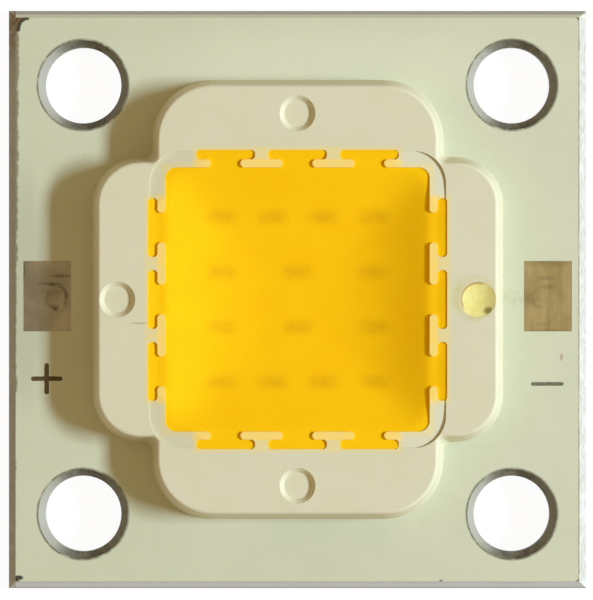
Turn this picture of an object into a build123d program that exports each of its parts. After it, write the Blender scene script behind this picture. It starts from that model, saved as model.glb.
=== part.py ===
"""Chip-on-board light source on a square metal-core board.

A moulded frame in the shape of a fat cross stands on the board. Its square
cavity holds phosphor silicone over fourteen chips, wired side by side between
two combs of copper. T-shaped pockets around the cavity lock the silicone in.

Millimetres. The origin is the centre of the board's underside. +Z is where
the light goes, and +X points to the negative land.
"""

import math
import os

from build123d import *

# Board, broken out of a panel that was scored on both faces
BOARD_SIDE = 24.25
METAL_THICK = 1.3
DIELECTRIC_THICK = 0.1
SCORE_WIDTH = 0.3
SCORE_DEPTH = 0.3

# Screw holes, with an eased rim in the metal
HOLE_EDGE = 3.125
HOLE_R = 1.6
RIM_WIDTH = 0.28
RIM_DEPTH = 0.35

# Copper foil and the white mask over it
COPPER_THICK = 0.07
MASK_OVER_COPPER = 0.05
MASK_CORNER_R = 0.25

# Solder lands at the middle of the left and right edges
LAND_WIDTH = 2.0
LAND_LENGTH = 2.95
LAND_EDGE = 0.625
LAND_Y = 0.14
LAND_FINISH = 0.03
LAND_LAP = 0.2
NECK_WIDTH = 2.0

# Chip field: ledge of mask inside the cavity, bus bars and comb fingers
FIELD_LEDGE = 0.175
BUS_EDGE = 0.12
BUS_WIDTH = 0.4
FINGER_WIDTH = 0.35
FINGER_GAP = 0.4

# Chips, in rows across the field
CHIP_LENGTH = 1.14
CHIP_WIDTH = 0.56
CHIP_THICK = 0.15
CHIP_ROW_SPACING = 2.3
CHIP_ROW_SPAN = 6.4
CHIP_COUNTS = (4, 3, 3, 4)

# Bond wires, four-sided, from a chip's top to a copper finger
WIRE_R = 0.025
WIRE_SIDES = 4
WIRE_INSET = 0.1
WIRE_STUB = 0.08
WIRE_RISE = 0.18
WIRE_LEAN = 0.25
WIRE_SHORT = 0.08

# Frame: two crossing bars with a drafted outer wall, each end a reach beyond the pockets
ARM_REACH = 2.375
TAB_REACH = 2.955
FRAME_HEIGHT = 1.6
FRAME_DRAFT = 9.5
FRAME_EDGE_R = 0.15
ARM_BREADTH = 11.95
ARM_CORNER_R = 2.0
TAB_BREADTH = 12.25
TAB_CORNER_R = 2.5
NOOK_R = 0.3

# Cavity and the T pockets around it
CAVITY_SIDE = 11.03
CAVITY_CORNER_R = 0.45
POCKET_COUNT = 3
POCKET_SPACING = 3.0
THROAT_WIDTH = 1.25
THROAT_DEPTH = 0.33
HEAD_WIDTH = 2.45
HEAD_DEPTH = 0.4
POCKET_EASE = 0.1

# Falls in the frame's top outside the four corners of the cavity
FALL_REACH = 0.685
FALL_CORNER_R = 1.36
FALL_START = 7.0
FALL_DEPTH = 0.12

# Round dimples near the ends of the four arms
DIMPLE_R = 0.75
DIMPLE_FLOOR_R = 0.55
DIMPLE_DEPTH = 0.2
DIMPLE_SIDE_INSET = 1.1
DIMPLE_END_INSET = 1.43

# Silicone: its level under the frame's top, and its hollow
GEL_SINK = 0.04
GEL_DISH_DEPTH = 0.75
GEL_DISH_INSET = 0.15
PLUG_SINK = 0.02
PLUG_DISH_DEPTH = 0.1
PLUG_DISH_INSET = 0.05

# Heights above the underside
Z_DIELECTRIC = METAL_THICK + DIELECTRIC_THICK
Z_COPPER = Z_DIELECTRIC + COPPER_THICK
Z_MASK = Z_COPPER + MASK_OVER_COPPER
Z_FRAME = Z_MASK + FRAME_HEIGHT
Z_GEL = Z_FRAME - GEL_SINK
Z_CHIP = Z_DIELECTRIC + CHIP_THICK

# Places that follow from the sizes above
COATED_SIDE = BOARD_SIDE - 2 * SCORE_WIDTH
OPENING_R = HOLE_R + RIM_WIDTH
HOLE_SPACING = BOARD_SIDE - 2 * HOLE_EDGE
LAND_X = BOARD_SIDE / 2 - LAND_EDGE - LAND_WIDTH / 2
POCKET_END = CAVITY_SIDE / 2 + THROAT_DEPTH + HEAD_DEPTH
FRAME_WIDTH = 2 * (POCKET_END + ARM_REACH)
FRAME_LENGTH = 2 * (POCKET_END + TAB_REACH)
FALL_SIDE = CAVITY_SIDE + 2 * FALL_REACH
FIELD_SIDE = CAVITY_SIDE - 2 * FIELD_LEDGE
BUS_X = FIELD_SIDE / 2 - BUS_EDGE - BUS_WIDTH / 2

# How closely a corner or an edge is found by its place
TOLERANCE = 0.001

# The positive side of the copper lies at -X, the negative side at +X
POSITIVE = -1
NEGATIVE = 1


def prism(sketch, low, high):
    """A sketch on the ground plane made into a solid between two heights."""
    return extrude(Pos(0, 0, low) * sketch, amount=high - low)


def screw_circles(radius):
    """Four circles on the screw pattern."""
    return Sketch() + GridLocations(HOLE_SPACING, HOLE_SPACING, 2, 2) * Circle(radius)


def row_heights():
    """Y of each row of chips, from the top down."""
    top = CHIP_ROW_SPACING * (len(CHIP_COUNTS) - 1) / 2
    return [top - row * CHIP_ROW_SPACING for row in range(len(CHIP_COUNTS))]


def chip_places():
    """Centre of each chip, row by row from the top left."""
    places = []
    for count, y in zip(CHIP_COUNTS, row_heights()):
        step = CHIP_ROW_SPAN / (count - 1)
        places += [(n * step - CHIP_ROW_SPAN / 2, y) for n in range(count)]
    return places


def finger_heights(polarity):
    """Y of each finger of one comb. Fingers of the two combs take turns between the rows."""
    top = row_heights()[0] + CHIP_ROW_SPACING / 2
    heights = [top - n * CHIP_ROW_SPACING for n in range(len(CHIP_COUNTS) + 1)]
    return heights[0::2] if polarity == POSITIVE else heights[1::2]


def make_base_plate():
    """Metal core with scored edges and an eased rim round each screw hole."""
    half = BOARD_SIDE / 2
    face = half - SCORE_WIDTH
    shoulder = METAL_THICK - SCORE_DEPTH
    section = Polyline(
        (-half, SCORE_DEPTH),
        (-face, 0),
        (face, 0),
        (half, SCORE_DEPTH),
        (half, shoulder),
        (face, METAL_THICK),
        (-face, METAL_THICK),
        (-half, shoulder),
        close=True,
    )
    bar = extrude(Plane.XZ * make_face(section), amount=half, both=True)
    plate = bar & bar.rotate(Axis.Z, 90)
    plate -= prism(screw_circles(HOLE_R), 0, METAL_THICK)
    rim = Cone(HOLE_R, OPENING_R, RIM_DEPTH, align=(Align.CENTER, Align.CENTER, Align.MAX))
    return plate - Pos(0, 0, METAL_THICK) * GridLocations(HOLE_SPACING, HOLE_SPACING, 2, 2) * rim


def make_dielectric_layer():
    """Insulating layer over the whole flat face of the metal."""
    sheet = Rectangle(COATED_SIDE, COATED_SIDE) - screw_circles(OPENING_R)
    return prism(sheet, METAL_THICK, Z_DIELECTRIC)


def make_trace(polarity):
    """Copper of one polarity: land, neck under the frame, bus bar and comb fingers."""
    land = Pos(polarity * LAND_X, LAND_Y) * Rectangle(LAND_WIDTH + 2 * LAND_LAP, LAND_LENGTH + 2 * LAND_LAP)
    neck = Pos(polarity * (LAND_X + BUS_X) / 2, 0) * Rectangle(LAND_X - BUS_X, NECK_WIDTH)
    heights = finger_heights(polarity)
    bus = Pos(polarity * BUS_X, 0) * Rectangle(BUS_WIDTH, heights[0] - heights[-1] + FINGER_WIDTH)
    tip = BUS_X - BUS_WIDTH / 2 - FINGER_GAP
    finger = Rectangle(BUS_X + tip, FINGER_WIDTH)
    foil = land + neck + bus
    for y in heights:
        foil += Pos(polarity * (BUS_X - tip) / 2, y) * finger
    return prism(foil, Z_DIELECTRIC, Z_COPPER)


def make_mask(traces):
    """White mask over the copper, open at the holes, the lands and the chip field."""
    sheet = RectangleRounded(COATED_SIDE, COATED_SIDE, MASK_CORNER_R) - screw_circles(OPENING_R)
    for polarity in (POSITIVE, NEGATIVE):
        sheet -= Pos(polarity * LAND_X, LAND_Y) * Rectangle(LAND_WIDTH, LAND_LENGTH)
    sheet -= Rectangle(FIELD_SIDE, FIELD_SIDE)
    return prism(sheet, Z_DIELECTRIC, Z_MASK) - traces


def make_land(polarity):
    """Surface finish on the bare end of the copper, in its window in the mask."""
    return Pos(0, 0, Z_COPPER) * Pos(polarity * LAND_X, LAND_Y) * Box(
        LAND_WIDTH, LAND_LENGTH, LAND_FINISH, align=(Align.CENTER, Align.CENTER, Align.MIN)
    )


def make_chips():
    """The chips, bonded to the board in their rows."""
    chip = Box(CHIP_LENGTH, CHIP_WIDTH, CHIP_THICK, align=(Align.CENTER, Align.CENTER, Align.MIN))
    return [Pos(x, y, Z_DIELECTRIC) * chip for x, y in chip_places()]


def make_wire(x, y, finger_y):
    """One bond wire: up from the chip's top, over its edge, and down to the near side of a finger."""
    side = math.copysign(1, finger_y - y)
    start = y + side * (CHIP_WIDTH / 2 - WIRE_INSET)
    end = finger_y - side * WIRE_SHORT
    crest = Z_CHIP + WIRE_RISE
    line = Polyline(
        (x, start, Z_CHIP),
        (x, start, crest - WIRE_STUB),
        (x, start + side * WIRE_LEAN, crest),
        (x, end, Z_COPPER + WIRE_STUB),
        (x, end, Z_COPPER),
    )
    section = Plane(origin=line @ 0, z_dir=line % 0) * RegularPolygon(WIRE_R, WIRE_SIDES)
    return sweep(section, path=line, transition=Transition.RIGHT)


def make_wires(polarity):
    """A wire from each chip to the nearest finger of one comb."""
    heights = finger_heights(polarity)
    wires = []
    for x, y in chip_places():
        nearest = min(heights, key=lambda height: abs(height - y))
        wires.append(make_wire(x, y, nearest))
    return wires


def pocket_outlines():
    """The T pockets of all four sides, each with its throat towards the cavity."""
    throat_x = CAVITY_SIDE / 2 + THROAT_DEPTH / 2
    head_x = POCKET_END - HEAD_DEPTH / 2
    throat = Pos(throat_x, 0) * Rectangle(THROAT_DEPTH, THROAT_WIDTH)
    pocket = throat + Pos(head_x, 0) * Rectangle(HEAD_DEPTH, HEAD_WIDTH)
    row = Sketch() + GridLocations(0, POCKET_SPACING, 1, POCKET_COUNT) * pocket
    return Sketch() + [Rot(0, 0, quarter * 90) * row for quarter in range(4)]


def at_cavity_corner(vertex):
    """Whether a vertex is one of the four corners of the square cavity."""
    half = CAVITY_SIDE / 2
    return math.isclose(abs(vertex.X), half, abs_tol=TOLERANCE) and math.isclose(abs(vertex.Y), half, abs_tol=TOLERANCE)


def cavity_outline():
    """Square cavity with its pockets, all corners eased."""
    outline = Rectangle(CAVITY_SIDE, CAVITY_SIDE) + pocket_outlines()
    outline = chamfer(outline.vertices().filter_by(lambda v: not at_cavity_corner(v)), POCKET_EASE)
    return fillet(outline.vertices().filter_by(at_cavity_corner), CAVITY_CORNER_R)


def dimple_places():
    """Centres of the dimples: right, left, top and bottom."""
    x = FRAME_WIDTH / 2 - DIMPLE_SIDE_INSET
    y = FRAME_LENGTH / 2 - DIMPLE_END_INSET
    return [(x, 0), (-x, 0), (0, y), (0, -y)]


def dimple(place):
    """The hollow of one dimple, wider at its mouth."""
    x, y = place
    return Pos(x, y, Z_FRAME) * Cone(
        DIMPLE_FLOOR_R, DIMPLE_R, DIMPLE_DEPTH, align=(Align.CENTER, Align.CENTER, Align.MAX)
    )


def drafted_bar(width, length, corner_r):
    """One bar of the frame, narrowing upwards by the mould's draft."""
    return extrude(RectangleRounded(width, length, corner_r), amount=FRAME_HEIGHT, taper=FRAME_DRAFT)


def crossed(bars):
    """The bars as one solid, eased along the edges that only the crossing makes."""
    own_edges = [edge for bar in bars for edge in bar.edges()]
    cross = Part() + bars
    nooks = cross.edges().filter_by(lambda edge: min(own.distance_to(edge @ 0.5) for own in own_edges) > TOLERANCE)
    return fillet(nooks, NOOK_R)


def corner_falls():
    """Four shallow hollows, a ball's curve outside and a rounded square's edge around them."""
    outline = prism(RectangleRounded(FALL_SIDE, FALL_SIDE, FALL_CORNER_R), Z_FRAME - FALL_DEPTH, Z_FRAME)
    far = math.sqrt(2) * (FALL_SIDE / 2 - FALL_CORNER_R) + FALL_CORNER_R
    below = (far**2 - FALL_START**2 + FALL_DEPTH**2) / (2 * FALL_DEPTH)
    ball = Pos(0, 0, Z_FRAME - below) * Sphere(math.hypot(FALL_START, below))
    return outline - ball


def make_frame(cavity):
    """Moulded frame: drafted cross, falls at the corners, toothed cavity and dimples."""
    arms = drafted_bar(FRAME_WIDTH, ARM_BREADTH, ARM_CORNER_R)
    tabs = drafted_bar(TAB_BREADTH, FRAME_LENGTH, TAB_CORNER_R)
    cross = crossed([arms, tabs])
    body = Pos(0, 0, Z_MASK) * fillet(cross.edges().group_by(Axis.Z)[-1], FRAME_EDGE_R)
    body -= prism(cavity, Z_MASK, Z_FRAME)
    return body - corner_falls() - [dimple(place) for place in dimple_places()]


def dish(reach, depth):
    """Ball that hollows a level surface at z = 0 to a depth, out to a reach from the middle."""
    ball_r = (reach**2 + depth**2) / (2 * depth)
    return Pos(0, 0, ball_r - depth) * Sphere(ball_r)


def make_gel(cavity, buried):
    """Phosphor silicone: fills the cavity down to the board, with a hollow on top."""
    gel = prism(cavity, Z_MASK, Z_GEL) + prism(Rectangle(FIELD_SIDE, FIELD_SIDE), Z_DIELECTRIC, Z_MASK)
    gel -= Pos(0, 0, Z_GEL) * dish(CAVITY_SIDE / 2 - GEL_DISH_INSET, GEL_DISH_DEPTH)
    return gel - buried


def make_plug():
    """Silicone left in the right-hand dimple, a little under its mouth and hollow on top."""
    x, y = dimple_places()[0]
    cover = Pos(x, y, Z_FRAME) * Cylinder(2 * DIMPLE_R, PLUG_SINK, align=(Align.CENTER, Align.CENTER, Align.MAX))
    hollow = Pos(x, y, Z_FRAME - PLUG_SINK) * dish(DIMPLE_R - PLUG_DISH_INSET, PLUG_DISH_DEPTH)
    return dimple((x, y)) - cover - hollow


def make_parts():
    """Every node by name."""
    cavity = cavity_outline()
    traces = {polarity: make_trace(polarity) for polarity in (POSITIVE, NEGATIVE)}
    chips = make_chips()
    positive_wires = make_wires(POSITIVE)
    negative_wires = make_wires(NEGATIVE)
    buried = [*traces.values(), *chips, *positive_wires, *negative_wires]
    parts = {
        "base_plate": make_base_plate(),
        "dielectric_layer": make_dielectric_layer(),
        "positive_trace": traces[POSITIVE],
        "negative_trace": traces[NEGATIVE],
        "solder_mask": make_mask(list(traces.values())),
        "positive_pad": make_land(POSITIVE),
        "negative_pad": make_land(NEGATIVE),
        "frame": make_frame(cavity),
        "phosphor_gel": make_gel(cavity, buried),
        "gel_plug": make_plug(),
    }
    for number, (chip, plus, minus) in enumerate(zip(chips, positive_wires, negative_wires), start=1):
        parts[f"led_chip_{number:02d}"] = chip
        parts[f"bond_wire_pos_{number:02d}"] = plus
        parts[f"bond_wire_neg_{number:02d}"] = minus
    return parts


os.makedirs("parts", exist_ok=True)
for name, shape in make_parts().items():
    export_step(shape, f"parts/{name}.step")
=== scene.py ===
import math
import random

import bmesh
import bpy
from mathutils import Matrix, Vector, geometry


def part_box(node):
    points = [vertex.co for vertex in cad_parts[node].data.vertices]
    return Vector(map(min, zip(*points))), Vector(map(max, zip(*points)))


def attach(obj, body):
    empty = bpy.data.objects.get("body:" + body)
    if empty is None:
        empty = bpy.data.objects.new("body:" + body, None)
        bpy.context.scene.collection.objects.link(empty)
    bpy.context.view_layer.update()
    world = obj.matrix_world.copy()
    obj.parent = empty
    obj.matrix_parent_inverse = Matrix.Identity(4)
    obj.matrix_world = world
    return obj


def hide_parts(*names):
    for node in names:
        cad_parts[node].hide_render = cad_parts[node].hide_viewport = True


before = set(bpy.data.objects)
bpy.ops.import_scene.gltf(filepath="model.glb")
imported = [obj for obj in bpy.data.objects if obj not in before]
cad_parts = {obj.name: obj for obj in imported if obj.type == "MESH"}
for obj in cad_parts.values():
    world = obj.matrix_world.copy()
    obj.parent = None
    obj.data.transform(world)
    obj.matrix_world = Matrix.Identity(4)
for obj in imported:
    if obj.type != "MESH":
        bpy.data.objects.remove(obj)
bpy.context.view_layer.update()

# Lengths are in mm unless a comment says metres, and MM turns them into the scene's metres
MM = 0.001
random.seed(6079)

# Heights and places, as the solid model has them
MASK_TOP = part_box("solder_mask")[1].z / MM
MASK_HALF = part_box("solder_mask")[1].x / MM
GEL_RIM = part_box("phosphor_gel")[1].z / MM
PLUG_X = (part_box("gel_plug")[0].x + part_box("gel_plug")[1].x) / 2 / MM

# Screw holes: distance of each axis from the middle, and where the mask ends round them
HOLE_OFF = 9.0
OPENING_R = 1.88

# Outline of the silicone: square cavity and the T pockets round it
HEAD_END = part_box("phosphor_gel")[1].x / MM
HEAD_DEPTH = 0.4
THROAT_DEPTH = 0.33
THROAT_END = HEAD_END - HEAD_DEPTH
CAVITY_HALF = THROAT_END - THROAT_DEPTH
CAVITY_CORNER_R = 0.45
CORNER_STEPS = 6
THROAT_HALF = 0.625
HEAD_HALF = 1.225
POCKET_SPACING = 3.0
POCKET_EASE = 0.1

# Surface of the silicone: depth of its hollow, how steeply that climbs and eases out at the
# walls, how square it is, and how far the surface sags below the rim along the pockets' heads
GEL_HOLLOW = 0.78
GEL_CLIMB = 3.3
GEL_EASE = 1.3
GEL_SQUARE = 10
POCKET_SAG = 0.06
WALL_SINK = 0.004
GRID_STEP = 0.16
EDGE_STEP = 0.14
EDGE_CLEAR = 0.07
INSIDE_ONLY = 1
MERGE_GAP = 1e-6

# How far a chip's shade reaches through the silicone
CHIP_REACH_X = 0.62
CHIP_REACH_Y = 0.30

# Printed marks
PLUS_PLACE = (-10.52, -3.32)
PLUS_ARM = 0.65
PLUS_WIDTH = 0.19
PLUS_WAVER = 0.008
PLUS_STEPS = 8
PLUS_SOFT = 0.02
MINUS_START = (9.80, -3.54)
MINUS_END = (11.16, -3.54)
MINUS_WIDTH = 0.155
MINUS_WAVER = 0.006
MINUS_STEP = 0.05
MINUS_BLUNT = 0.12
PRINT_RISE = 0.006
PRINT_SINK = 0.001

# Floor, a little below the board so that the two faces don't fight; its radius is in metres.
# The camera sees it glow, with a share of its shading
FLOOR_GAP = 0.02
FLOOR_R = 1.5
FLOOR_SIDES = 96
FLOOR_GLOW = 0.95
FLOOR_SHADING = 0.12

# Soft lamp at the right and the warm surroundings, in metres and linear colours
LAMP_AWAY = 0.5
LAMP_HEIGHT = math.radians(35.3)
LAMP_SIZE = (0.065, 0.175)
LAMP_LEVEL = (0.555, 0.667, 0.813)
SURROUNDINGS = (0.435, 0.322, 0.184, 1)

# Camera: the photo is 600 pixels high at 23.84 pixels to the mm. Its distance and the
# picture's height are in metres
CAMERA_AWAY = 0.3
PICTURE_HEIGHT = 600 / 23.84 * MM
SENSOR_WIDTH = 36
AIM_X = -0.042
AIM_Y = -0.021

# Spots on the mask: place as in Shader.spot, strength, tone
MASK_PATCHES_AND_PAINTED_LIGHT = (
    # The first is painted light: the mask's top made lighter, where it is lit more brightly
    ((1.5, 9.8, 8.5, 1.5, 0.6), 0.8, (0.675, 0.690, 0.490)),
    ((-11.4, 0.4, 0.75, 4.6, 0.35), 0.85, (0.505, 0.510, 0.355)),
)
MASK_NICKS = (
    ((-11.70, -11.67, 0.19, 0.10, 0.35), 0.95, (0.03, 0.035, 0.02)),
    ((6.02, -11.80, 0.07, 0.05, 0.5), 0.8, (0.07, 0.07, 0.05)),
    ((11.07, -2.41, 0.06, 0.14, 0.6), 0.6, (0.36, 0.20, 0.09)),
)

# Marks of test probes on the lands: kind, place as in Shader.spot or Shader.arc, strength
LEFT_MARKS = (
    ("spot", (-9.93, 0.99, 0.44, 0.055, 0.6), 0.7),
    ("spot", (-10.36, 0.66, 0.46, 0.05, 0.6), 0.65),
    ("spot", (-10.27, 0.62, 0.16, 0.07, 0.7), 0.6),
    ("arc", (-10.20, 0.10, 0.52, 0.045, 15, 55), 0.6),
    ("arc", (-10.16, 0.02, 0.36, 0.04, 200, 70), 0.35),
    ("arc", (-10.16, 0.10, 0.62, 0.04, -55, 30), 0.35),
    ("spot", (-9.71, 0.17, 0.08, 0.13, 0.7), 0.55),
    ("spot", (-10.15, -0.36, 0.15, 0.12, 0.7), 0.85),
    ("spot", (-10.25, 0.30, 0.40, 0.12, 0.8), 0.25),
    ("spot", (-10.30, -0.66, 0.30, 0.20, 0.8), 0.2),
    ("spot", (-11.47, 1.20, 0.05, 0.42, 0.6), 0.6),
)
RIGHT_MARKS = (
    ("spot", (10.42, 0.90, 0.34, 0.10, 0.8), 0.35),
    ("spot", (10.54, 0.54, 0.26, 0.09, 0.8), 0.35),
    ("spot", (10.50, 1.55, 1.0, 0.16, 0.6), 0.3),
    ("spot", (9.56, 0.40, 0.12, 1.2, 0.6), 0.25),
    ("spot", (10.45, -1.31, 1.0, 0.06, 0.6), 0.35),
    ("arc", (10.25, 0.10, 0.42, 0.05, 200, 80), 0.2),
    ("arc", (10.3, -0.55, 0.50, 0.05, -60, 60), 0.2),
    ("spot", (9.65, 0.0, 0.3, 0.25, 0.8), 0.3),
)

# Share of the land's dark tone that is left in a mark
MARK_SHARE = 0.35

# Tones of the plain materials and of the ink: the first is the base, the second its patches
DIELECTRIC_TONES = ((0.13, 0.09, 0.045), (0.24, 0.18, 0.10))
COPPER_TONES = ((0.72, 0.36, 0.22), (0.60, 0.27, 0.15))
CHIP_TONES = ((0.20, 0.24, 0.30), (0.30, 0.34, 0.40))
GOLD_TONES = ((0.90, 0.62, 0.22), (0.80, 0.52, 0.16))
PLUS_TONES = ((0.075, 0.045, 0.008), (0.13, 0.095, 0.03))
MINUS_TONES = ((0.125, 0.122, 0.065), (0.20, 0.19, 0.11))

# Light inside the silicone: its share, and how far each colour goes
GLOW_SHARE = 0.15
GLOW_RADIUS = (1.0, 0.6, 0.1)


class Shader:
    """One procedural material, with its coordinates in mm of the row frame."""

    def __init__(self, name):
        self.material = bpy.data.materials.new(name)
        self.material.use_nodes = True
        self.tree = self.material.node_tree
        self.tree.nodes.clear()
        self.output = self.add("ShaderNodeOutputMaterial")
        place = self.add("ShaderNodeTexCoord").outputs["Object"]
        in_mm = self.add("ShaderNodeVectorMath", {0: place, 3: 1 / MM}, operation="SCALE")
        self.mm = in_mm.outputs[0]
        self.x, self.y, self.z = self.add("ShaderNodeSeparateXYZ", {0: self.mm}).outputs

    def add(self, kind, inputs=None, **settings):
        """A node with its settings; an input is a value or another node's socket."""
        node = self.tree.nodes.new(kind)
        for key, value in settings.items():
            setattr(node, key, value)
        for key, value in (inputs or {}).items():
            if isinstance(value, bpy.types.NodeSocket):
                self.tree.links.new(value, node.inputs[key])
            else:
                node.inputs[key].default_value = value
        return node

    # Numbers

    def math(self, operation, a, b=0.0):
        return self.add("ShaderNodeMath", {0: a, 1: b}, operation=operation).outputs[0]

    def plus(self, a, b):
        return self.math("ADD", a, b)

    def minus(self, a, b):
        return self.math("SUBTRACT", a, b)

    def times(self, first, *others):
        for other in others:
            first = self.math("MULTIPLY", first, other)
        return first

    def span(self, value, low, high, out_low=0.0, out_high=1.0, kind="SMOOTHSTEP"):
        """A value carried from one range to another, and held at its ends."""
        inputs = {0: value, 1: low, 2: high, 3: out_low, 4: out_high}
        return self.add("ShaderNodeMapRange", inputs, interpolation_type=kind).outputs[0]

    def noise(self, per_mm, detail=3.0, stretch=(1, 1, 1), rough=0.55, seed=0.0):
        place = self.vector("MULTIPLY", self.mm, stretch)
        place = self.vector("ADD", place, (seed, seed, seed))
        inputs = {"Vector": place, "Scale": per_mm, "Detail": detail, "Roughness": rough}
        return self.add("ShaderNodeTexNoise", inputs).outputs["Fac"]

    def vector(self, operation, a, b):
        return self.add("ShaderNodeVectorMath", {0: a, 1: b}, operation=operation).outputs[0]

    # Shapes: 1 inside, 0 outside

    def distance(self, x, y):
        """Distance from the upright line through (x, y); either may be a socket."""
        dx, dy = self.minus(self.x, x), self.minus(self.y, y)
        return self.math("SQRT", self.plus(self.times(dx, dx), self.times(dy, dy)))

    def hole_distance(self):
        """Distance from the axis of the nearest screw hole."""
        x, y = (self.times(self.math("SIGN", axis), HOLE_OFF) for axis in (self.x, self.y))
        return self.distance(x, y)

    def spot(self, x, y, reach_x, reach_y, soft=0.5):
        """An ellipse round (x, y), fading over a share of its reach."""
        dx = self.math("DIVIDE", self.minus(self.x, x), reach_x)
        dy = self.math("DIVIDE", self.minus(self.y, y), reach_y)
        away = self.math("SQRT", self.plus(self.times(dx, dx), self.times(dy, dy)))
        return self.span(away, 1 - soft, 1 + soft, 1, 0)

    def line(self, value, middle, half, soft):
        """Where a value lies within half of its middle, fading over soft."""
        off = self.math("ABSOLUTE", self.minus(value, middle))
        return self.span(off, half, half + soft, 1, 0)

    def arc(self, x, y, radius, half, heading, spread):
        """Part of a ring round (x, y), with its middle at a heading in degrees."""
        dx, dy = self.minus(self.x, x), self.minus(self.y, y)
        turn = math.radians(heading)
        along = self.plus(self.times(dx, math.cos(turn)), self.times(dy, math.sin(turn)))
        away = self.distance(x, y)
        facing = self.math("DIVIDE", along, self.math("MAXIMUM", away, 0.01))
        low = math.cos(math.radians(spread))
        ends = self.span(facing, low - 0.2, low + 0.2)
        return self.times(self.line(away, radius, half, half), ends)

    # Colours

    def mix(self, share, a, b):
        a, b = (c if isinstance(c, bpy.types.NodeSocket) else (*c, 1) for c in (a, b))
        return self.add("ShaderNodeMix", {0: share, 6: a, 7: b}, data_type="RGBA").outputs[2]

    def mottled(self, noise, tone, other):
        """Two tones in soft patches."""
        return self.mix(self.span(noise, 0.35, 0.65), tone, other)

    def speckled(self, colour, noise, low, high, strength, tone):
        """A colour with some of another tone where a noise is high."""
        return self.mix(self.span(noise, low, high, 0, strength), colour, tone)

    def spotted(self, colour, spots):
        for place, strength, tone in spots:
            colour = self.mix(self.times(self.spot(*place), strength), colour, tone)
        return colour

    # Surface

    def bump(self, height, depth, strength):
        inputs = {"Height": height, "Distance": depth * MM, "Strength": strength}
        return self.add("ShaderNodeBump", inputs).outputs[0]

    def finish(self, colour, rough, normal, metal=0.0, sheen=0.5, depth=None):
        """The finished material; depth is how far light goes into it, if it does."""
        inputs = {
            "Base Color": colour, "Roughness": rough, "Normal": normal,
            "Metallic": metal, "Specular IOR Level": sheen,
        }
        if depth:
            inputs["Subsurface Weight"] = GLOW_SHARE
            inputs["Subsurface Scale"] = depth * MM
            inputs["Subsurface Radius"] = GLOW_RADIUS
        shader = self.add("ShaderNodeBsdfPrincipled", inputs)
        self.tree.links.new(shader.outputs[0], self.output.inputs[0])
        return self.material


def white_mask():
    s = Shader("white_mask")
    fine = s.noise(9, 4, rough=0.7)
    ragged = s.noise(2.2, 4, rough=0.65, seed=11)
    colour = s.mottled(s.noise(0.35, 3), (0.628, 0.640, 0.452), (0.600, 0.618, 0.432))
    colour = s.speckled(colour, fine, 0.3, 0.75, 0.35, (0.57, 0.585, 0.40))
    colour = s.speckled(colour, s.noise(3.1, 2, seed=4), 0.68, 0.74, 0.25, (0.50, 0.48, 0.32))
    # Patches of tone; the first is painted light that makes the mask's top lighter
    colour = s.spotted(colour, MASK_PATCHES_AND_PAINTED_LIGHT)

    # Smear between the frame and the right land
    patchy = s.span(s.noise(4, 3), 0.35, 0.6)
    smear = s.times(s.spot(9.3, 0.05, 0.75, 0.28), patchy, 0.35)
    colour = s.mix(smear, colour, (0.46, 0.42, 0.24))

    # Dirt round the screw holes
    rim = s.line(s.hole_distance(), OPENING_R, 0.02, 0.09)
    rim = s.times(rim, s.span(ragged, 0.3, 0.55, 0.3, 0.9))
    colour = s.mix(rim, colour, (0.13, 0.12, 0.07))

    # Dark brown band along the left margin, wider and browner towards the top
    wobble = s.times(s.minus(ragged, 0.5), 0.35)
    band_edge = s.plus(s.span(s.y, -8, 11.5, -0.02, 0.14, "LINEAR"), wobble)
    margin = s.span(s.minus(band_edge, s.plus(s.x, MASK_HALF)), -0.05, 0.05)
    band_tone = s.mix(s.span(s.y, 9.0, 11.2), (0.16, 0.14, 0.08), (0.17, 0.105, 0.045))
    colour = s.mix(s.times(margin, 0.8), colour, band_tone)

    # Chipped top left corner, brown outside a dark edge
    corner = s.times(s.span(s.x, -11.3, -11.2, 1, 0), s.span(s.y, 11.2, 11.3))
    away = s.plus(s.distance(-11.22, 11.33), s.times(wobble, 0.4))
    colour = s.mix(s.times(corner, s.span(away, 0.47, 0.53)), colour, (0.17, 0.105, 0.045))
    edge = s.times(corner, s.line(away, 0.49, 0.05, 0.05), 0.9)
    colour = s.mix(edge, colour, (0.035, 0.032, 0.018))
    colour = s.spotted(colour, MASK_NICKS)

    # Dark line along the right edge
    edge = s.times(s.line(s.x, MASK_HALF, 0.02, 0.05), s.span(ragged, 0.3, 0.6, 0.2, 0.7))
    colour = s.mix(edge, colour, (0.17, 0.17, 0.11))
    return s.finish(colour, rough=0.62, normal=s.bump(fine, 0.004, 0.6), sheen=0.2)


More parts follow.
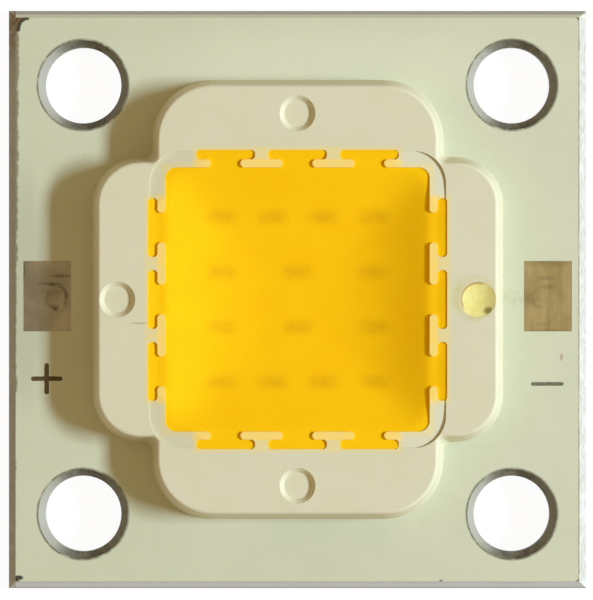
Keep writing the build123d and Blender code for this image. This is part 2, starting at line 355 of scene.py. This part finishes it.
def frame_plastic():
    s = Shader("frame_plastic")
    fine = s.noise(14, 3, rough=0.6)
    colour = s.mottled(s.noise(0.5, 2, seed=9), (0.700, 0.665, 0.460), (0.682, 0.650, 0.442))
    colour = s.speckled(colour, fine, 0.35, 0.75, 0.25, (0.64, 0.605, 0.41))

    # Thin film of silicone on the fingers and round the cavity
    off_x, off_y = s.math("ABSOLUTE", s.x), s.math("ABSOLUTE", s.y)
    far = s.math("MAXIMUM", off_x, off_y)
    near = s.math("MINIMUM", off_x, off_y)
    film = s.span(s.noise(1.7, 3, seed=6), 0.3, 0.65, 0.75, 1.0)
    fringe = s.span(far, CAVITY_HALF + 0.02, CAVITY_HALF + 0.3, 0.6, 0)
    pockets = s.span(near, 4.2, 4.5, 1, 0)
    teeth = s.times(s.span(far, HEAD_END, HEAD_END + 0.25, 0.75, 0), pockets)
    film_share = s.times(s.math("MAXIMUM", fringe, teeth), film)
    colour = s.mix(film_share, colour, (0.83, 0.675, 0.24))
    finger = s.line(far, (CAVITY_HALF + THROAT_END) / 2, 0.12, 0.12)
    finger = s.times(finger, s.span(near, 4.1, 4.5, 1, 0))
    colour = s.mix(s.times(finger, film), colour, (0.97, 0.68, 0.15))

    # Stain round the plug
    patchy = s.span(s.noise(2, 2, seed=2), 0.3, 0.6, 0.3, 1)
    stain = s.times(s.spot(PLUG_X - 0.12, 0.05, 0.95, 0.95, 0.12), patchy, 0.55)
    colour = s.mix(stain, colour, (0.60, 0.55, 0.22))

    # Scratch beside the left dimple
    scratch = s.times(s.spot(-6.6, -0.99, 0.34, 0.035, 0.35), 0.5)
    colour = s.mix(scratch, colour, (0.32, 0.27, 0.14))
    return s.finish(colour, rough=0.58, normal=s.bump(fine, 0.003, 0.5), sheen=0.25)


def phosphor():
    s = Shader("phosphor_silicone")
    fine = s.noise(11, 3, rough=0.6)
    colour = s.mottled(s.noise(0.55, 3, seed=5), (0.99, 0.577, 0.0036), (0.985, 0.552, 0.0030))
    colour = s.speckled(colour, fine, 0.3, 0.75, 0.25, (0.96, 0.51, 0.003))
    chip = s.add("ShaderNodeAttribute", attribute_name="chip_below").outputs["Fac"]
    chip = s.times(chip, s.span(s.noise(3, 3), 0.2, 0.7, 0.6, 1.1), 0.4)
    colour = s.mix(chip, colour, (0.62, 0.30, 0.004))
    normal = s.bump(s.noise(5, 3, rough=0.6), 0.004, 0.5)
    return s.finish(colour, rough=0.75, normal=normal, sheen=0.05, depth=0.3)


def plug_silicone():
    s = Shader("plug_silicone")
    fine = s.noise(4, 3)
    colour = s.mottled(fine, (0.86, 0.79, 0.29), (0.80, 0.72, 0.22))
    # Painted shade: the plug darker towards its right, where the dimple's right wall shades it
    right = s.span(s.minus(s.x, PLUG_X), 0.1, 0.7, 0, 0.4)
    colour = s.mix(right, colour, (0.52, 0.44, 0.16))
    edge = s.times(s.arc(PLUG_X, 0, 0.70, 0.04, 140, 70), 0.8)
    colour = s.mix(edge, colour, (0.45, 0.28, 0.10))
    dark_spot = s.times(s.spot(PLUG_X + 0.45, -0.47, 0.19, 0.15, 0.6), 0.85)
    colour = s.mix(dark_spot, colour, (0.16, 0.15, 0.02))
    return s.finish(colour, rough=0.4, normal=s.bump(fine, 0.01, 0.5), sheen=0.3)


def land(name, dark, light, streak, metal, rough, marks):
    """Tinned land: streaks, grain, and the darker marks of test probes."""
    s = Shader(name)
    lines = s.noise(1.0, 4, stretch=streak, rough=0.6, seed=3)
    cloud = s.noise(0.9, 3, seed=7)
    colour = s.mottled(s.plus(s.times(lines, 0.6), s.times(cloud, 0.4)), dark, light)
    grain = s.noise(20, 3, rough=0.7)
    broken = s.span(s.noise(6, 3, seed=8), 0.3, 0.6, 0.4, 1)
    scratched = tuple(MARK_SHARE * c for c in dark)
    for kind, place, strength in marks:
        mark = s.arc(*place) if kind == "arc" else s.spot(*place)
        colour = s.mix(s.times(mark, broken, strength), colour, scratched)
    rough = s.span(grain, 0.3, 0.7, rough - 0.06, rough + 0.06)
    normal = s.bump(s.plus(lines, s.times(grain, 0.4)), 0.01, 0.5)
    return s.finish(colour, rough=rough, normal=normal, metal=metal)


def metal_core():
    s = Shader("metal_core")
    cut = s.noise(3, 4, stretch=(1, 1, 14), rough=0.65)
    colour = s.mottled(cut, (0.60, 0.58, 0.50), (0.42, 0.41, 0.34))
    colour = s.speckled(colour, s.noise(1.2, 3, seed=1), 0.5, 0.7, 0.5, (0.68, 0.66, 0.58))

    # Plain rolled underside
    below = s.span(s.z, 0.01, 0.03, 1, 0)
    rolled = s.noise(1.6, 3, stretch=(0.1, 3, 1), rough=0.6, seed=15)
    plain = s.mix(s.span(rolled, 0.3, 0.7), (0.62, 0.62, 0.59), (0.52, 0.52, 0.49))
    colour = s.mix(below, colour, plain)
    relief = s.plus(s.times(cut, s.minus(1.0, below)), s.times(rolled, below, 0.3))

    # Broken edges: bottom, then its outer line, top, then its outer line
    bottom = s.span(s.y, -MASK_HALF - 0.02, -MASK_HALF + 0.02, 0.8, 0)
    colour = s.mix(bottom, colour, (0.60, 0.61, 0.59))
    colour = s.mix(s.span(s.y, -12.09, -12.05, 0.7, 0), colour, (0.30, 0.30, 0.28))
    colour = s.mix(s.span(s.y, MASK_HALF, MASK_HALF + 0.02), colour, (0.62, 0.63, 0.45))
    outer = s.span(s.y, MASK_HALF + 0.11, MASK_HALF + 0.16, 0, 0.8)
    colour = s.mix(outer, colour, (0.30, 0.30, 0.27))

    # Darker left edge, brown at its top
    dirt = s.noise(3.5, 4, rough=0.7, seed=12)
    left = s.span(s.x, -MASK_HALF - 0.02, -MASK_HALF + 0.02, 1, 0)
    colour = s.mix(s.times(left, 0.6), colour, (0.30, 0.28, 0.18))
    brown = s.times(left, s.span(s.y, 9.5, 11.5), s.span(dirt, 0.3, 0.6))
    colour = s.mix(brown, colour, (0.22, 0.14, 0.06))

    # Rims and walls of the screw holes: grime, thinner at each hole's right and left
    hole = s.hole_distance()
    rim = s.span(hole, OPENING_R + 0.05, OPENING_R + 0.1, 1, 0)
    inward = s.minus(s.times(s.math("SIGN", s.x), HOLE_OFF), s.x)
    facing = s.math("DIVIDE", inward, s.math("MAXIMUM", hole, 0.01))
    facing = s.plus(facing, s.times(s.minus(dirt, 0.5), 0.7))
    grime = s.mottled(dirt, (0.20, 0.19, 0.13), (0.085, 0.082, 0.05))
    grime = s.mix(s.span(facing, -0.9, -0.3, 0.7, 0), grime, (0.27, 0.28, 0.22))
    grime = s.mix(s.span(facing, 0.25, 0.8), grime, (0.40, 0.385, 0.30))
    colour = s.mix(s.times(rim, 0.95), colour, grime)
    metal = s.math("MAXIMUM", s.minus(0.25, rim), 0.0)
    rough = s.span(relief, 0.3, 0.7, 0.45, 0.6)
    return s.finish(colour, rough=rough, normal=s.bump(relief, 0.02, 0.6), metal=metal)


def plain(name, tones, per_mm, detail, rough, grain, strength, metal=0.0):
    """A material of two mottled tones, with a grain of so many mm."""
    s = Shader(name)
    fine = s.noise(per_mm, detail)
    normal = s.bump(fine, grain, strength)
    return s.finish(s.mottled(fine, *tones), rough=rough, normal=normal, metal=metal)


def ink(name, deep, thin):
    """Printing ink, worn thin in places."""
    s = Shader(name)
    worn = s.noise(9, 4, rough=0.7)
    colour = s.mix(s.span(worn, 0.45, 0.7), deep, thin)
    return s.finish(colour, rough=0.6, normal=s.bump(worn, 0.004, 0.5))


def floor_material():
    """Pale floor: near white to the camera, with the shadow, and plain to all other light."""
    s = Shader("floor")
    fine = s.noise(0.4, 3)
    tone = s.mix(s.span(fine, 0.3, 0.7), (0.80, 0.80, 0.79), (0.78, 0.78, 0.77))
    diffuse = s.add("ShaderNodeBsdfDiffuse", {"Color": tone}).outputs[0]
    faint = s.add("ShaderNodeMixShader", {0: FLOOR_SHADING, 2: diffuse}).outputs[0]
    white = {"Color": (1, 1, 1, 1), "Strength": FLOOR_GLOW}
    glow = s.add("ShaderNodeEmission", white).outputs[0]
    seen = s.add("ShaderNodeAddShader", {0: faint, 1: glow}).outputs[0]
    ray = s.add("ShaderNodeLightPath").outputs
    direct = s.math("MAXIMUM", ray["Is Glossy Ray"], ray["Is Transmission Ray"])
    direct = s.math("MAXIMUM", ray["Is Camera Ray"], direct)
    both = s.add("ShaderNodeMixShader", {0: direct, 1: diffuse, 2: seen}).outputs[0]
    s.tree.links.new(both, s.output.inputs[0])
    return s.material


MATERIALS = {
    "white_mask": white_mask(),
    "frame_plastic": frame_plastic(),
    "phosphor_silicone": phosphor(),
    "plug_silicone": plug_silicone(),
    "land_finish_pos": land(
        "land_finish_pos", dark=(0.37, 0.345, 0.25), light=(0.51, 0.475, 0.35),
        streak=(0.9, 0.5, 1), metal=0.92, rough=0.36, marks=LEFT_MARKS,
    ),
    "land_finish_neg": land(
        "land_finish_neg", dark=(0.38, 0.285, 0.105), light=(0.52, 0.40, 0.18),
        streak=(2.2, 0.25, 1), metal=0.6, rough=0.5, marks=RIGHT_MARKS,
    ),
    "metal_core": metal_core(),
    "dielectric": plain(
        "dielectric", DIELECTRIC_TONES, per_mm=6, detail=4, rough=0.6, grain=0.01, strength=0.5,
    ),
    "copper": plain(
        "copper", COPPER_TONES,
        per_mm=5, detail=4, rough=0.35, grain=0.004, strength=0.5, metal=1.0,
    ),
    "chip": plain(
        "chip", CHIP_TONES, per_mm=8, detail=2, rough=0.2, grain=0.001, strength=0.4,
    ),
    "gold_wire": plain(
        "gold_wire", GOLD_TONES,
        per_mm=30, detail=2, rough=0.25, grain=0.001, strength=0.4, metal=1.0,
    ),
}


def add_piece(name, mesh, material):
    piece = bpy.data.objects.new(name, mesh)
    bpy.context.scene.collection.objects.link(piece)
    mesh.materials.append(material)
    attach(piece, "root")
    return piece


def quarter_turned(x, y, quarter):
    """A point turned anticlockwise about the middle by a number of quarter turns."""
    c, s = ((1, 0), (0, 1), (-1, 0), (0, -1))[quarter]
    return Vector((x * c - y * s, x * s + y * c))


def gel_corners():
    """Sharp corners of the silicone, anticlockwise, each with the length that is cut off it."""
    side = []
    for centre in (-POCKET_SPACING, 0, POCKET_SPACING):
        half = (
            (CAVITY_HALF, THROAT_HALF), (THROAT_END, THROAT_HALF),
            (THROAT_END, HEAD_HALF), (HEAD_END, HEAD_HALF),
        )
        side += [(across, centre - along) for across, along in half]
        side += [(across, centre + along) for across, along in reversed(half)]
    corners = []
    for quarter in range(4):
        corners += [(quarter_turned(x, y, quarter), POCKET_EASE) for x, y in side]
        corners.append((quarter_turned(CAVITY_HALF, CAVITY_HALF, quarter), CAVITY_CORNER_R))
    return corners


def gel_outline():
    """Outline of the silicone: pockets' corners cut straight, the cavity's four rounded."""
    corners = gel_corners()
    points = []
    for i, (here, cut) in enumerate(corners):
        before, after = corners[i - 1][0], corners[(i + 1) % len(corners)][0]
        start = here + (before - here).normalized() * cut
        end = here + (after - here).normalized() * cut
        if cut == POCKET_EASE:
            points += [start, end]
            continue
        centre = start + end - here
        for step in range(CORNER_STEPS + 1):
            turn = step / CORNER_STEPS * math.pi / 2
            arm = (start - centre) * math.cos(turn) + (end - centre) * math.sin(turn)
            points.append(centre + arm)
    return points


def finely(points, step):
    """Closed outline with long edges divided."""
    fine = []
    for i, here in enumerate(points):
        after = points[(i + 1) % len(points)]
        parts = max(1, round((after - here).length / step))
        fine += [here.lerp(after, k / parts) for k in range(parts)]
    return fine


def inside(point, outline):
    """Whether a point lies inside a closed outline."""
    odd = False
    for i, a in enumerate(outline):
        b = outline[i - 1]
        if (a.y > point.y) != (b.y > point.y):
            if point.x < (b.x - a.x) * (point.y - a.y) / (b.y - a.y) + a.x:
                odd = not odd
    return odd


def grid_inside(outline):
    """Staggered grid of points inside an outline, clear of its edge."""
    points = []
    steps = int(HEAD_END / GRID_STEP) + 1
    for i in range(-steps, steps + 1):
        for j in range(-steps, steps + 1):
            shift = GRID_STEP / 2 if j % 2 else 0
            point = Vector((i * GRID_STEP + shift, j * GRID_STEP))
            if not inside(point, outline):
                continue
            if min((point - o).length for o in outline) > EDGE_CLEAR:
                points.append(point)
    return points


def gel_height(point):
    """The silicone's surface: at the rim at the pockets' ends, and hollow in the middle."""
    x, y = abs(point.x), abs(point.y)
    reach = (x**GEL_SQUARE + y**GEL_SQUARE) ** (1 / GEL_SQUARE) / CAVITY_HALF
    hollow = GEL_HOLLOW * (1 - min(reach, 1.0) ** GEL_CLIMB) ** GEL_EASE
    sag = POCKET_SAG * min(max((HEAD_END - max(x, y)) / HEAD_DEPTH, 0), 1)
    return GEL_RIM - WALL_SINK - hollow - sag


def chip_below(point, chips):
    """How much of a chip shows through the silicone at a point."""
    shade = 0.0
    for low, high in chips:
        dx = (point.x - (low.x + high.x) / 2 / MM) / CHIP_REACH_X
        dy = (point.y - (low.y + high.y) / 2 / MM) / CHIP_REACH_Y
        shade = max(shade, math.exp(-((dx * dx) ** 2) - (dy * dy) ** 1.5))
    return shade


def gel_mesh():
    """Closed mesh of the silicone down to the mask: smooth top, sharp rim, flat walls."""
    outline = finely(gel_outline(), EDGE_STEP)
    count = len(outline)
    points = outline + grid_inside(outline)
    edges = [(i, (i + 1) % count) for i in range(count)]
    triangulated = geometry.delaunay_2d_cdt(points, edges, [], INSIDE_ONLY, MERGE_GAP)
    flat, _, faces, origin, _, _ = triangulated
    bm = bmesh.new()
    top = [bm.verts.new(Vector((p.x, p.y, gel_height(p))) * MM) for p in flat]
    for face in faces:
        bm.faces.new([top[i] for i in face])
    rim = [next(k for k, o in enumerate(origin) if i in o) for i in range(count)]
    for k in range(count):
        bm.edges.get((top[rim[k]], top[rim[(k + 1) % count]])).smooth = False
    low = [bm.verts.new(Vector((flat[i].x, flat[i].y, MASK_TOP)) * MM) for i in rim]
    for k in range(count):
        n = (k + 1) % count
        bm.faces.new([top[rim[k]], low[k], low[n], top[rim[n]]])
    bm.faces.new(list(reversed(low)))
    bm.normal_update()
    for face in bm.faces:
        face.smooth = face.normal.z > 0.5
    mesh = bpy.data.meshes.new("gel_surface")
    bm.to_mesh(mesh)
    bm.free()
    return mesh


def make_gel():
    mesh = gel_mesh()
    chips = [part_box(name) for name in sorted(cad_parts) if name.startswith("led_chip_")]
    shades = mesh.attributes.new("chip_below", "FLOAT", "POINT")
    for vertex, shade in zip(mesh.vertices, shades.data):
        shade.value = chip_below(vertex.co.xy / MM, chips)
    piece = add_piece("gel_surface", mesh, MATERIALS["phosphor_silicone"])
    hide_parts("phosphor_gel")


def plus_outline():
    """A plus with slightly uneven edges and softened ends."""
    x, y = PLUS_PLACE
    arm, half = PLUS_ARM, PLUS_WIDTH / 2
    waver = (-PLUS_WAVER, PLUS_WAVER)
    tip = ((arm - PLUS_SOFT, 0.75), (arm, 0.3), (arm, -0.3), (arm - PLUS_SOFT, -0.75))
    quarters = []
    for quarter in range(4):
        along = [half + (arm - half) * k / PLUS_STEPS for k in range(1, PLUS_STEPS)]
        side = [(half, half)]
        side += [(px, half + random.uniform(*waver)) for px in along]
        side += [(px, half * share) for px, share in tip]
        side += [(px, -half + random.uniform(*waver)) for px in reversed(along)]
        quarters.append([quarter_turned(px, py, quarter) for px, py in side])
    return [Vector((x, y)) + p for side in reversed(quarters) for p in side]


def minus_outline():
    """A bar with slightly uneven edges and rounded ends."""
    start, end = Vector(MINUS_START), Vector(MINUS_END)
    length = (end - start).length
    along = (end - start).normalized()
    across = Vector((-along.y, along.x))
    steps = int(length / MINUS_STEP)
    left, right = [], []
    for k in range(steps + 1):
        share = k / steps
        near_end = min(share, 1 - share) * length / (MINUS_WIDTH / 2)
        rounded = max(MINUS_BLUNT, 1 - (1 - min(near_end, 1)) ** 2)
        half = MINUS_WIDTH / 2 * math.sqrt(rounded)
        place = start.lerp(end, share)
        left.append(place + across * (half + random.uniform(-MINUS_WAVER, MINUS_WAVER)))
        right.append(place - across * (half + random.uniform(-MINUS_WAVER, MINUS_WAVER)))
    return right + left[::-1]


def make_mark(name, outline, material):
    """A thin printed layer with this outline, on the mask."""
    bm = bmesh.new()
    top = (MASK_TOP + PRINT_RISE) * MM
    face = bm.faces.new([bm.verts.new((p.x * MM, p.y * MM, top)) for p in outline])
    grown = bmesh.ops.extrude_face_region(bm, geom=[face])
    for item in grown["geom"]:
        if isinstance(item, bmesh.types.BMVert):
            item.co.z = (MASK_TOP - PRINT_SINK) * MM
    bmesh.ops.triangulate(bm, faces=list(bm.faces))
    bmesh.ops.recalc_face_normals(bm, faces=list(bm.faces))
    mesh = bpy.data.meshes.new(name)
    bm.to_mesh(mesh)
    bm.free()
    add_piece(name, mesh, material)


def make_floor():
    bpy.ops.mesh.primitive_circle_add(vertices=FLOOR_SIDES, radius=FLOOR_R, fill_type="NGON")
    floor = bpy.context.object
    floor.name = "floor"
    floor.location.z = -FLOOR_GAP * MM
    floor.data.materials.append(floor_material())


def make_light():
    world = bpy.data.worlds.new("surroundings")
    bpy.context.scene.world = world
    world.use_nodes = True
    inputs = world.node_tree.nodes["Background"].inputs
    inputs["Color"].default_value = SURROUNDINGS
    inputs["Strength"].default_value = 1.0

    lamp = bpy.data.lights.new("key", "AREA")
    lamp.shape = "RECTANGLE"
    lamp.size, lamp.size_y = LAMP_SIZE

    # Power at which a level white face shows LAMP_LEVEL
    top_level = max(LAMP_LEVEL)
    lamp.color = [level / top_level for level in LAMP_LEVEL]
    lamp.energy = top_level * math.pi**2 * LAMP_AWAY**2 / math.sin(LAMP_HEIGHT)
    key = bpy.data.objects.new("key", lamp)
    key.location = (LAMP_AWAY * math.cos(LAMP_HEIGHT), 0, LAMP_AWAY * math.sin(LAMP_HEIGHT))
    key.rotation_euler = (0, math.pi / 2 - LAMP_HEIGHT, 0)
    key.visible_camera = False
    bpy.context.scene.collection.objects.link(key)


def make_camera():
    """Camera straight above, at the height where the mask shows at the photo's scale."""
    lens = bpy.data.cameras.new("camera")
    lens.sensor_width = SENSOR_WIDTH
    lens.lens = SENSOR_WIDTH * CAMERA_AWAY / PICTURE_HEIGHT
    lens.clip_start = 0.01
    camera = bpy.data.objects.new("camera", lens)
    camera.location = (AIM_X * MM, AIM_Y * MM, CAMERA_AWAY + MASK_TOP * MM)
    bpy.context.scene.collection.objects.link(camera)
    bpy.context.scene.camera = camera
    bpy.context.scene.view_settings.view_transform = "Standard"


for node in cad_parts.values():
    for place in node.material_slots:
        place.material = MATERIALS[place.material.name.split(".")[0]]

make_gel()
make_mark("plus_mark", plus_outline(), ink("plus_ink", *PLUS_TONES))
make_mark("minus_mark", minus_outline(), ink("minus_ink", *MINUS_TONES))
make_floor()
make_light()
make_camera()
